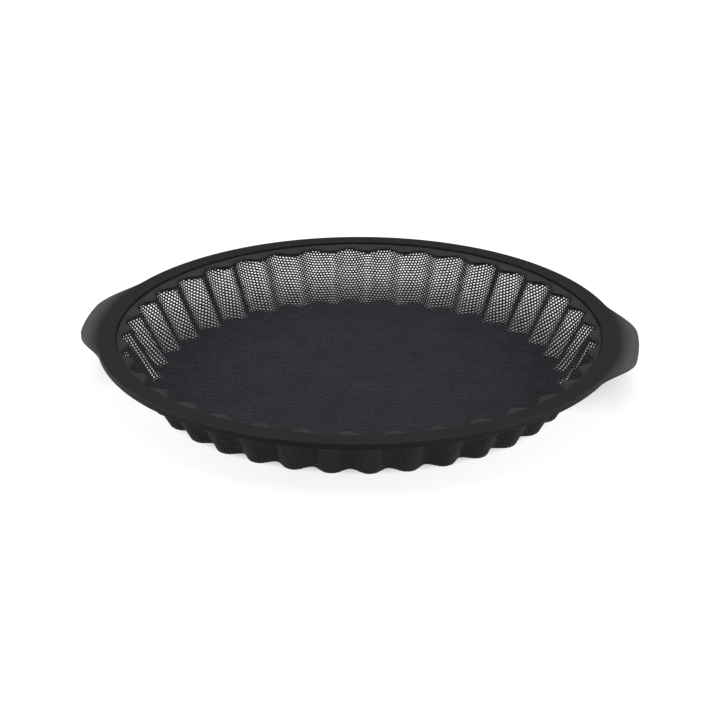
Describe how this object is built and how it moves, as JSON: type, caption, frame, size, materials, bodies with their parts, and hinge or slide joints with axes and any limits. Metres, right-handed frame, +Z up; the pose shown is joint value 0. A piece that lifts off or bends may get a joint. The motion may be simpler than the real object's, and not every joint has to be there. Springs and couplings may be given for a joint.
{
  "type": "fluted tart pan",
  "caption": "Round flexible tart pan: an open-mesh fluted shell and flat base in a moulded rim flange with a handle tab on each side.",
  "frame": {"origin": "centre of the base's underside, on the surface the pan stands on", "axes": "+Z up out of the pan, +X through one handle tab"},
  "size_m": [0.3204, 0.3, 0.0325],
  "materials": {
    "mesh": "matt black silicone-coated glass-fibre mesh",
    "silicone": "matt black moulded silicone",
    "steel": "plain drawn stainless wire"
  },
  "bodies": {
    "root": {"mesh_shell": "mesh", "edge_band": "silicone", "rim_flange": "silicone", "stiffening_ring": "steel"}
  },
  "joints": []
}
